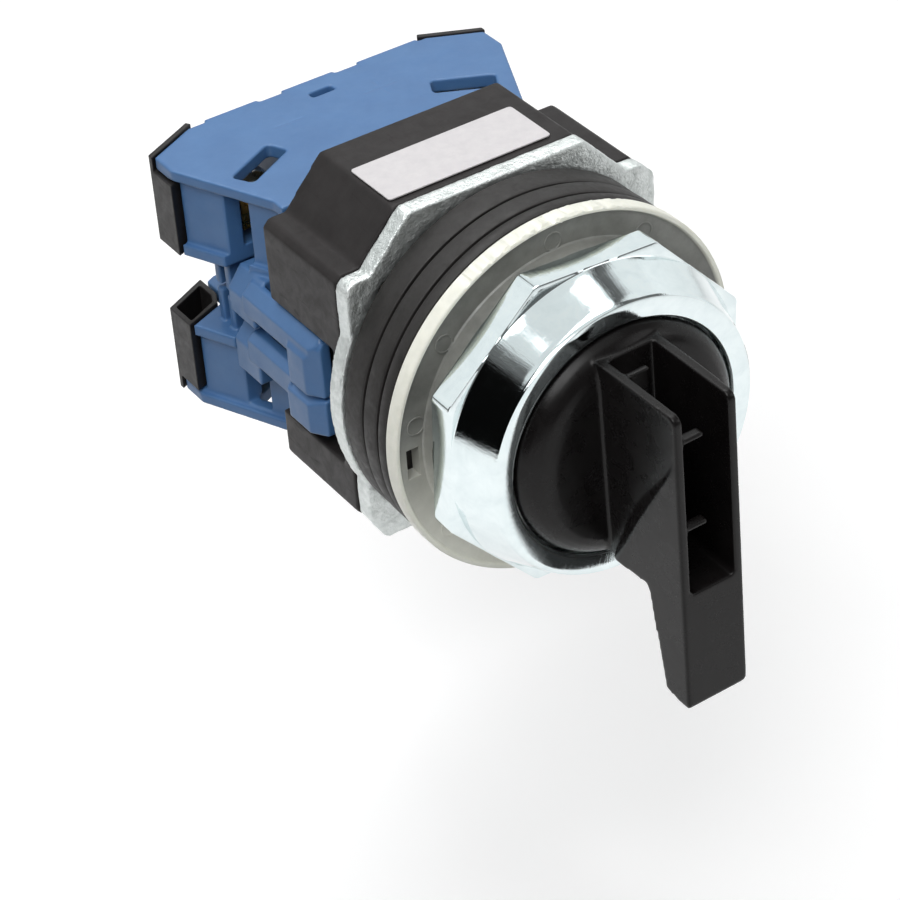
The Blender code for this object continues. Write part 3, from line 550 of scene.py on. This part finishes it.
def anti_rotation_washer():
    """Ring with a raised hub, a bead round its rim, a ragged mould edge on top and ejector marks."""
    def ragged(base, depth):
        def radius(angle):
            near_top = max(0.0, 1.0 - abs(math.degrees(angle) - 96) / 34)
            chips = noise.noise(Vector((math.cos(angle), math.sin(angle), depth)) * 26.0)
            chips += 0.6 * noise.noise(Vector((math.cos(angle), math.sin(angle), depth)) * 61.0)
            return base - 0.5 * near_top ** 0.5 * max(0.0, chips + 0.15)
        return radius
    rear = OCTAGON_REAR + 0.3
    profile = [(STACK_BORE_R, rear + 0.1), (STACK_BORE_R + 0.1, rear), (18.1, rear), (18.3, rear + 0.15),
               (18.45, -2.1), (18.6, -1.9), (21.4, -1.9), (21.55, -2.0), (21.62, -2.2), (21.7, -2.28),
               (ragged(WASHER_R - 0.2, 0.0), -2.3), (ragged(WASHER_R - 0.07, 0.4), -2.22),
               (ragged(WASHER_R, 0.8), -2.0), (ragged(WASHER_R, 1.4), -0.45),
               (WASHER_R - 0.15, -0.3), (STACK_BORE_R, -0.3)]
    ring = round_axis(profile, 640)
    key = box((-1.5, rear + 0.3, 13.9), (1.5, -0.5, 16.4))
    ring = cut(join(ring, key), box((-20.6, -3.0, -2.6), (-19.0, 1.0, 1.2)))
    show(ring, "anti_rotation_ring", "washer_plastic", "washer", ["anti_rotation_washer"], sharp=30)
    for i, degrees in enumerate((91.5, 139.6, 168.5, 215.0, 265.0, 320.0, 20.0, 55.0)):
        angle = math.radians(degrees)
        mark = round_axis([(1.15, -2.0), (1.05, -1.95), (0.95, -2.0), (0.92, -1.8), (1.18, -1.8)], 40)
        mark.data.transform(Matrix.Translation((19.5 * math.cos(angle), 0, 19.5 * math.sin(angle))))
        show(mark, f"ejector_mark_{i + 1}", "washer_plastic", "washer")


def stack_ring(node, front, rear, radius, seed):
    """A rubber ring with soft corners and a slightly uneven rim."""
    middle = (front + rear) / 2
    def uneven(inset):
        def at(angle):
            wave = noise.noise(Vector((math.cos(angle) * 2, math.sin(angle) * 2, seed)))
            return radius - inset - 0.05 - 0.05 * wave
        return at
    profile = [(STACK_BORE_R, front + 0.2), (STACK_BORE_R + 0.2, front), (uneven(0.45), front),
               (uneven(0.15), front + 0.1), (uneven(0.0), front + 0.35), (uneven(0.0), middle),
               (uneven(0.0), rear - 0.35), (uneven(0.15), rear - 0.1), (uneven(0.45), rear),
               (STACK_BORE_R + 0.2, rear), (STACK_BORE_R, rear - 0.2)]
    show(round_axis(profile, 256), f"{node}_moulded", "rubber", "operator", [node], sharp=40)


# ================================================================ zinc operator body
THREAD_R, SLEEVE_FRONT, SLEEVE_BORE_R = 14.9, -12.0, 12.0
FLANGE_FRONT, FLANGE_REAR = 8.9, 11.1
SCREW_PLACES = ((-14.6, 13.6), (14.6, -13.6))


def flange_outline():
    bulge_r, left, right = 22.1, -20.0, 20.6
    def flank(edge, z):
        return math.degrees(math.atan2(z, math.copysign(math.sqrt(bulge_r**2 - z**2), edge)))
    right_flank = arc((0, 0), bulge_r, flank(right, -9.6), flank(right, 9.0), 24)
    left_flank = arc((0, 0), bulge_r, flank(left, 9.4), 360 + flank(left, -10.1), 24)
    return ([(11.5, 22.1), (-11.5, 22.1), (-16.6, 16.6), (-16.9, 16.2), (-19.2, 16.2),
             (left, 15.3), (left, 9.9)] + left_flank
            + [(left + 0.2, -10.7), (left + 0.2, -15.0), (-17.7, -18.5), (17.7, -18.5),
               (right - 0.2, -15.0), (right - 0.2, -10.3)] + right_flank
            + [(right, 9.6), (right, 14.6), (18.9, 16.2), (16.9, 16.2), (16.6, 16.6)])


def operator_body():
    root_r = THREAD_R - 0.75
    flange = prism("Y", FLANGE_FRONT, FLANGE_REAR, rounded(flange_outline(), 1.0))
    sleeve = rod((0, SLEEVE_FRONT, 0), (0, FLANGE_FRONT + 0.8, 0), root_r, 128)
    body = join(flange, sleeve)
    body = cut(body, rod((0, SLEEVE_FRONT - 1, 0), (0, -3.1, 0), SLEEVE_BORE_R, 128),
               rod((0, 0.6, 0), (0, FLANGE_REAR + 1, 0), 11.0, 96),
               rod((0, -4, 0), (0, 2, 0), 5.3),
               box((-1.8, SLEEVE_FRONT - 1, 13.5), (1.8, FLANGE_FRONT, 16.0)))
    for x, z in SCREW_PLACES:
        body = cut(body, rod((x, FLANGE_FRONT - 1, z), (x, FLANGE_REAR + 1, z), 1.4, 32))
    body = softened(body, 0.2, 4, 0.4, cast=0.16)
    show(body, "operator_body_cast", "die_cast_zinc", "operator", ["operator_body"])
    sleeve_thread(root_r)


def sleeve_thread(root_r):
    """Rolled thread on the sleeve: one ridge a turn, broken by the keyway."""
    gap = math.radians(8.0)
    start, steps = math.pi / 2 + gap, 96
    sweep = 2 * math.pi - 2 * gap
    turns = int((FLANGE_FRONT - 1.6 - SLEEVE_FRONT) / PITCH)
    shape = bmesh.new()
    for turn in range(turns):
        rows = []
        for i in range(steps + 1):
            angle = start + sweep * i / steps
            y = SLEEVE_FRONT + 0.8 + PITCH * (turn + (angle - start) / (2 * math.pi))
            rows.append([shape.verts.new((r * math.cos(angle), y + dy, r * math.sin(angle)))
                         for r, dy in ((root_r - 0.1, -0.72), (THREAD_R - 0.1, -0.14), (THREAD_R, 0.0),
                                       (THREAD_R - 0.1, 0.14), (root_r - 0.1, 0.72))])
        for first, second in zip(rows, rows[1:]):
            for i in range(5):
                j = (i + 1) % 5
                shape.faces.new((first[i], first[j], second[j], second[i]))
        shape.faces.new(rows[0])
        shape.faces.new(reversed(rows[-1]))
    show(object_from("tool", shape), "sleeve_thread", "die_cast_zinc", "operator", sharp=35)


# ================================================================ rear housing and label
HOUSING_FRONT, HOUSING_REAR = 11.4, 26.5
CAVITY_R, CAVITY_REAR = 13.2, 22.5
LANE = 10.45


def housing():
    outline = [(11.7, 21.7), (-11.7, 21.7), (-16.4, 16.5), (-16.8, 16.0), (-19.0, 16.0),
               (-19.8, 15.2), (-19.8, -15.4), (-19.0, -16.2), (-17.2, -18.3), (17.2, -18.3),
               (19.0, -16.2), (19.8, -15.4), (19.8, 15.2), (19.0, 16.0), (16.8, 16.0), (16.4, 16.5)]
    body = prism("Y", HOUSING_FRONT, HOUSING_REAR, outline)
    body = cut(body, rod((0, HOUSING_FRONT - 1, 0), (0, CAVITY_REAR, 0), CAVITY_R, 96),
               rod((0, CAVITY_REAR - 1, 0), (0, HOUSING_REAR + 1, 0), 3.1, 48))
    for _, level in LEVELS:
        slot = sorted((level * (LANE - 1.85), level * (LANE + 1.85)))
        body = cut(body, box((-1.85, CAVITY_REAR - 1, slot[0]), (1.85, HOUSING_REAR + 1, slot[1])),
                   rod((0, 13.8, level * 12.0), (0, 13.8, level * 17.5), 2.1, 48))
    depth = 17.8
    body = cut(body, box((-25, 13.4, -9.6), (-depth, HOUSING_REAR + 1, 5.6)),
               box((depth, 13.4, -5.6), (25, HOUSING_REAR + 1, 9.6)))
    for x, z in SCREW_PLACES:
        body = cut(body, rod((x, HOUSING_FRONT - 1, z), (x, HOUSING_REAR + 1, z), 1.4, 32),
                   rod((x, 24.4, z), (x, HOUSING_REAR + 1, z), 2.3, 40))
    body = softened(body, 0.25, 6, 0.3)
    show(body, "housing_moulded", "housing_plastic", "operator", ["housing"])


def housing_screw(hand, x, z):
    """Slotted pan head screw on a plain round shank."""
    profile = [(0.01, 9.2), (0.9, 9.2), (1.1, 9.5), (1.1, 24.7), (1.85, 24.7), (2.0, 24.85), (2.0, 25.6),
               (1.9, 25.9), (1.6, 26.15), (1.1, 26.28), (0.01, 26.3)]
    screw = cut(round_axis(profile, 64, closed=False), box((-3, 25.7, -0.3), (3, 27.0, 0.3)))
    screw = bevelled(screw, 0.06)
    screw.data.transform(Matrix.Translation((x, 0, z)))
    show(screw, f"housing_screw_{hand}_plated", "screw_steel", "operator",
         [f"housing_screw_{hand}"], sharp=35)


def rating_label():
    corners = [(-11.5, 12.6), (9.6, 12.6), (9.6, 20.5), (-11.5, 20.5)]
    label = bevelled(prism("Z", 21.82, 21.98, rounded(corners, 0.5)), 0.05)
    show(label, "blank_label", "label_film", "operator", ["rating_label"], sharp=35)


# ================================================================ contact blocks
BLOCK_FRONT, BLOCK_REAR = 26.9, 49.2
BLOCK_INNER, BLOCK_OUTER = 4.8, 16.1
BLOCK_HALF, LID, TERMINAL_X = 22.6, 1.4, 13.6
CORNER_HOLLOW = ((26.0, 40.0), (17.7, 43.5), (16.6, 45.6), (16.6, 51.0), (26.0, 51.0))


def block_outline(inset):
    right = [(16.9 - inset, BLOCK_FRONT), (16.9 - inset, 28.9), (BLOCK_HALF - inset, 41.8),
             (BLOCK_HALF, 42.6), (BLOCK_HALF, 45.5), (15.4, BLOCK_REAR)]
    return right + [(-x, y) for x, y in reversed(right)]


def bar(side, y_low, y_high, inner, outer, z_low, z_high, slope, from_below=False):
    """A bar along Y whose outer upper (or lower) corner is cut off by a slope (x, z)."""
    if from_below:
        section = [(inner, z_high), (outer, z_high), (outer, z_low + slope[1]), (outer - slope[0], z_low),
                   (inner, z_low)]
    else:
        section = [(inner, z_low), (outer, z_low), (outer, z_high - slope[1]), (outer - slope[0], z_high),
                   (inner, z_high)]
    return prism("Y", y_low, y_high, flipped(section, side))


def latch_arms():
    """The snap arms of one block: the left one with its hook level with the axis, the right one above."""
    left = join(bar(-1, 17.0, 32.0, 18.6, 20.6, 1.1, 5.0, (1.3, 1.4)),
                bar(-1, 16.4, 22.0, 18.4, 21.0, -2.7, 4.6, (1.6, 2.4)),
                bar(-1, 30.0, 35.4, 16.6, 20.5, -0.2, 5.4, (1.9, 2.6)))
    right = join(bar(1, 22.4, 32.0, 18.6, 20.6, 1.7, 5.4, (0.9, 0.8), True),
                 bar(1, 16.4, 22.9, 18.4, 21.0, 3.1, 7.9, (1.5, 0.9), True),
                 bar(1, 30.0, 35.2, 16.6, 20.5, 1.6, 8.0, (1.9, 2.4), True))
    for side, arms in ((-1, left), (1, right)):
        lead_in = [(21.5, 18.4), (21.0, 18.4), (19.5, 16.0), (21.5, 16.0)]
        arms = cut(arms, prism("Z", -5, 10, flipped(lead_in, side)))
        yield arms


def contact_block(word, level):
    body = prism("Z", BLOCK_INNER + 0.5, BLOCK_OUTER - LID + 0.2, block_outline(0.8))
    lid = prism("Z", BLOCK_OUTER - LID, BLOCK_OUTER, block_outline(0.0))
    foot = prism("Z", BLOCK_INNER, BLOCK_INNER + 1.5, block_outline(0.0))
    body = join(body, lid, foot)
    floor, roof, below = 6.4, BLOCK_OUTER - LID - 0.3, BLOCK_INNER - 1
    body = cut(body, box((-9.5, 27.7, floor), (9.5, 43.5, roof)),
               box((-1.85, BLOCK_FRONT - 1, LANE - 1.85), (1.85, 28.5, LANE + 1.85)),
               prism("Z", roof - 0.6, BLOCK_OUTER + 1, rounded([(-1.5, 45.4), (1.6, 45.4), (1.6, 46.5),
                                                               (-1.5, 46.5)], 0.2)))
    window = [(17.9, 36.2), (16.5, 33.7), (9.9, 37.3), (11.1, 39.8)]
    for _, side in SIDES:
        body = cut(body,
                   side_box(side, 11.3, 15.9, 31.3, 37.0, 6.8, roof),
                   side_box(side, 11.3, 17.2, 34.6, 37.0, 6.8, roof),
                   side_box(side, 11.3, 26.0, 33.1, 36.2, below, roof),
                   side_box(side, 9.0, 11.6, 36.6, 38.2, LANE - 2.5, LANE + 2.5),
                   side_box(side, 10.2, 17.2, 36.5, 51.0, 6.8, roof),
                   prism("Z", below, 14.5, flipped(CORNER_HOLLOW, side)),
                   prism("Z", roof - 0.6, BLOCK_OUTER + 1, rounded(flipped(window, side), 0.6)))
    for x_low, x_high in ((-14.0, -6.9), (-3.7, 3.5), (6.7, 15.2)):
        body = cut(body, box((x_high, BLOCK_REAR - 0.5, BLOCK_OUTER - LID - 0.2),
                             (x_high + 3.3, BLOCK_REAR + 1, BLOCK_OUTER + 1)))
    body = cut(body, box((-17, BLOCK_REAR - 0.5, BLOCK_OUTER - LID - 0.2),
                         (-14.0, BLOCK_REAR + 1, BLOCK_OUTER + 1)))
    for x_low, x_high, y_low, y_high in ((-8.6, -4.4, 42.2, 42.5), (-6.7, -6.4, 40.4, 44.2),
                                         (3.6, 8.2, 42.2, 42.5), (5.8, 6.1, 40.4, 44.2)):
        body = cut(body, box((x_low, y_low, BLOCK_OUTER - 0.12), (x_high, y_high, BLOCK_OUTER + 1)))
    body = join(body, *latch_arms())
    for _, side in SIDES:
        for y in (37.3, 39.7):
            body = join(body, side_box(side, 14.5, 19.2, y, y + 1.2, 0.35, BLOCK_INNER + 0.2))
    body = softened(body, 0.17, 4, 0.25)
    show(body, f"contact_block_{word}_moulded", "blue_plastic", "contacts", [f"contact_block_{word}"], level)


def end_cover(word, hand, side, level):
    rear_end, corner = (15.4, BLOCK_REAR), (BLOCK_HALF, 45.5)
    slope = (corner[1] - rear_end[1]) / (corner[0] - rear_end[0])
    def beside(x, distance):
        return x, rear_end[1] + slope * (x - rear_end[0]) + distance * math.hypot(1.0, slope)
    gap, start, wall = 0.3, 15.6, 0.7
    edge = BLOCK_HALF + gap
    plate = [beside(start + 0.35, wall + gap), beside(start, gap), beside(edge, gap),
             beside(edge, wall + gap)]
    skirt = [beside(17.0, wall + gap), (17.0, 45.7), (17.9, 43.8), (edge, 41.7), beside(edge, wall + gap)]
    pocket = [beside(17.7, gap), (17.7, 45.7), (18.3, 44.4), (edge - wall, 42.5), beside(edge - wall, gap)]
    cover = join(prism("Z", BLOCK_INNER, BLOCK_OUTER, flipped(plate, side)),
                 prism("Z", BLOCK_INNER, 14.2, flipped(skirt, side)))
    cover = cut(cover, prism("Z", BLOCK_INNER - 1, 13.4, flipped(pocket, side)))
    x = side * TERMINAL_X
    cover = cut(cover, rod((x, 44, LANE), (x, 52, LANE), 3.2, 48),
                side_box(side, 15.0, 17.0, 44, 52, BLOCK_INNER - 1, 8.0))
    cover = softened(cover, 0.09, 3, 0.3)
    show(cover, f"end_cover_{word}_{hand}_moulded", "cover_plastic", "contacts",
         [f"end_cover_{word}_{hand}"], level)


def terminal_screw(word, hand, side, level):
    """Cross-recessed pan head screw with its thread."""
    profile = [(0.01, 31.6), (1.3, 31.6), (1.6, 31.9)]
    y = 32.2
    while y < 39.6:
        profile += [(1.6, y), (1.35, y + 0.2)]
        y += 0.4
    profile += [(1.6, 40.0), (2.75, 40.0), (2.9, 40.15), (2.9, 41.7), (2.82, 42.0), (2.6, 42.25),
                (2.2, 42.38),
                (0.01, 42.4)]
    screw = round_axis(profile, 64, closed=False)
    screw = cut(screw, box((-4, 41.4, -0.45), (4, 43, 0.45)), box((-0.45, 41.2, -1.8), (0.45, 43, 1.8)))
    screw.data.transform(Matrix.Translation((side * TERMINAL_X, 0, LANE)))
    show(screw, f"terminal_screw_{word}_{hand}_plated", "screw_steel", "contacts",
         [f"terminal_screw_{word}_{hand}"], level, sharp=35)


def lock_clip():
    half, height = 12.5, 2.2
    body = cut(box((-half, 45.6, -height), (half, 48.8, height)),
               box((-half + 2.5, 48.2, -0.7), (half - 2.5, 49.5, 0.7)))
    gusset = prism("Z", -0.8, 0.8, [(-half + 0.5, 41.5), (-half + 0.5, 46.0), (-half + 5.0, 46.0),
                                    (-half + 2.6, 43.6)])
    body = join(body, box((-half, 31.5, -height + 0.4), (-half + 1.0, 46.0, height - 0.4)),
                box((half - 1.0, 31.5, -0.6), (half, 46.0, 0.6)),
                box((half - 1.2, 37.0, -height), (half, 46.0, height)),
                box((half - 5.6, 38.6, -0.9), (half - 4.2, 46.0, 0.9)),
                rod((half - 5.1, 38.8, -0.9), (half - 5.1, 38.8, 0.9), 1.1, 48), gusset)
    body = softened(body, 0.13, 3, 0.3)
    show(body, "lock_clip_moulded", "clip_plastic", "clip", ["lock_clip"])


# ================================================================ assembly
lever_handle()
ring_nut()
anti_rotation_washer()
stack_ring("panel_gasket", 0.0, 1.7, 22.1, 1.0)
stack_ring("spacer_ring_thin", 2.0, 4.7, 22.0, 2.0)
stack_ring("spacer_ring_thick", 5.0, 8.6, 21.9, 3.0)
operator_body()
housing()
for side_word, (screw_x, screw_z) in zip(("left", "right"), SCREW_PLACES):
    housing_screw(side_word, screw_x, screw_z)
rating_label()
lock_clip()
for level_word, level_sign in LEVELS:
    contact_block(level_word, level_sign)
    for side_word, side_sign in SIDES:
        end_cover(level_word, side_word, side_sign, level_sign)
        terminal_screw(level_word, side_word, side_sign, level_sign)

for cad_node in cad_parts.values():
    for material_slot in cad_node.material_slots:
        material_slot.material = LOOKS[material_slot.material.name.split(".")[0]]


# ================================================================ floor, light and camera
def plane(name, centre, size, facing):
    shape = bmesh.new()
    bmesh.ops.create_grid(shape, x_segments=1, y_segments=1, size=0.5)
    bmesh.ops.scale(shape, vec=(size[0], size[1], 1.0), verts=shape.verts)
    turn = Vector(facing).to_track_quat("Z", "Y").to_matrix().to_4x4()
    shape.transform(Matrix.Translation(centre) @ turn)
    obj = object_from(name, shape, orient=False)
    return obj


def floor():
    material, tree, shader, where = new_material("pale_floor")
    tone = mixed(tree, field(tree, where, 60.0, 2.0), srgb(232, 232, 232), srgb(236, 236, 236))
    tree.links.new(tone, shader.inputs["Base Color"])
    shader.inputs["Roughness"].default_value = 0.9
    shader.inputs["Specular IOR Level"].default_value = 0.0
    shader.inputs["Emission Color"].default_value = (1.0, 1.0, 1.0, 1.0)
    shader.inputs["Emission Strength"].default_value = 0.3
    ground = plane("floor", (0, 0, -0.075), (6.0, 6.0), (0, 0, 1))
    ground.data.materials.append(material)
    ground.visible_diffuse = False


def card(name, centre, size, shade, glow=0.0):
    """A card seen only in mirror-like surfaces, which gives the bright metal its pattern."""
    material, tree, shader, where = new_material(f"{name}_cloth")
    tone = mixed(tree, field(tree, where, 30.0), srgb(shade, shade, shade),
                 srgb(shade + 6, shade + 6, shade + 6))
    tree.links.new(tone, shader.inputs["Base Color"])
    shader.inputs["Roughness"].default_value = 0.9
    shader.inputs["Specular IOR Level"].default_value = 0.0
    if glow:
        shader.inputs["Emission Color"].default_value = (0.97, 1.0, 1.0, 1.0)
        shader.inputs["Emission Strength"].default_value = glow
    obj = plane(name, centre, size, -Vector(centre))
    obj.data.materials.append(material)
    obj.visible_camera = obj.visible_diffuse = obj.visible_shadow = False
    obj.visible_transmission = obj.visible_volume_scatter = False


def softbox(name, place, target, size, power):
    light = bpy.data.lights.new(name, "AREA")
    light.shape, light.size, light.size_y, light.energy = "RECTANGLE", size[0], size[1], power
    obj = bpy.data.objects.new(name, light)
    bpy.context.scene.collection.objects.link(obj)
    obj.location = place
    obj.rotation_euler = (Vector(target) - Vector(place)).to_track_quat("-Z", "Y").to_euler()


def studio():
    floor()
    world = bpy.data.worlds.new("studio")
    bpy.context.scene.world = world
    world.use_nodes = True
    background = world.node_tree.nodes["Background"]
    background.inputs["Color"].default_value = (1.0, 1.0, 1.0, 1.0)
    background.inputs["Strength"].default_value = 0.16
    softbox("key_light", (-0.35, -0.25, 0.6), (0, 0.01, 0), (0.45, 0.45), 3.6)
    softbox("fill_light", (0.5, -0.45, 0.35), (0, 0.01, 0), (0.4, 0.4), 0.8)
    softbox("top_light", (0.05, 0.3, 0.7), (0, 0.01, 0), (0.6, 0.4), 3.2)
    card("dark_card_left", (-0.36, -0.01, 0.10), (0.44, 0.34), 20)
    # painted shadow: a dark card under the operator, seen only in the metal, stands in for the switch's
    # shadow on the floor
    card("painted_shadow_card_floor", (0.04, 0.045, -0.07), (0.06, 0.07), 20)
    card("dark_card_top", (0.11, 0.05, 0.24), (0.16, 0.012), 20)
    card("white_card_rear_left", (-0.45, 0.5, 0.42), (0.9, 0.7), 200, 0.75)
    card("white_card_rear_right", (0.5, 0.5, 0.45), (0.8, 0.7), 200, 0.75)
    card("white_card_right", (0.7, 0.1, 0.15), (1.0, 0.5), 200, 0.7)
    card("white_card_top", (-0.1, 0.0, 0.9), (1.2, 1.2), 200, 0.75)


CAMERA_PLACE = (-0.15463, -0.23453, 0.19934)
CAMERA_AZIMUTH, CAMERA_ELEVATION, CAMERA_ROLL = -30.84, 36.68, -4.63   # degrees; azimuth 0 looks along +Y


def camera():
    data = bpy.data.cameras.new("camera")
    data.sensor_width, data.lens = 36.0, 125.79
    data.shift_x, data.shift_y = 0.0041, 0.0136
    data.clip_start, data.clip_end = 0.01, 20.0
    obj = bpy.data.objects.new("camera", data)
    bpy.context.scene.collection.objects.link(obj)
    azimuth, elevation = math.radians(CAMERA_AZIMUTH), math.radians(CAMERA_ELEVATION)
    roll = math.radians(CAMERA_ROLL)
    level = Vector((math.cos(azimuth), math.sin(azimuth), 0.0))
    back = Vector((math.sin(azimuth) * math.cos(elevation), -math.cos(azimuth) * math.cos(elevation),
                   math.sin(elevation)))
    upright = back.cross(level)
    right = level * math.cos(roll) + upright * math.sin(roll)
    turn = Matrix((right, back.cross(right), back)).transposed().to_4x4()
    obj.matrix_world = Matrix.Translation(CAMERA_PLACE) @ turn
    bpy.context.scene.camera = obj


studio()
camera()
bpy.context.scene.view_settings.view_transform = "Standard"
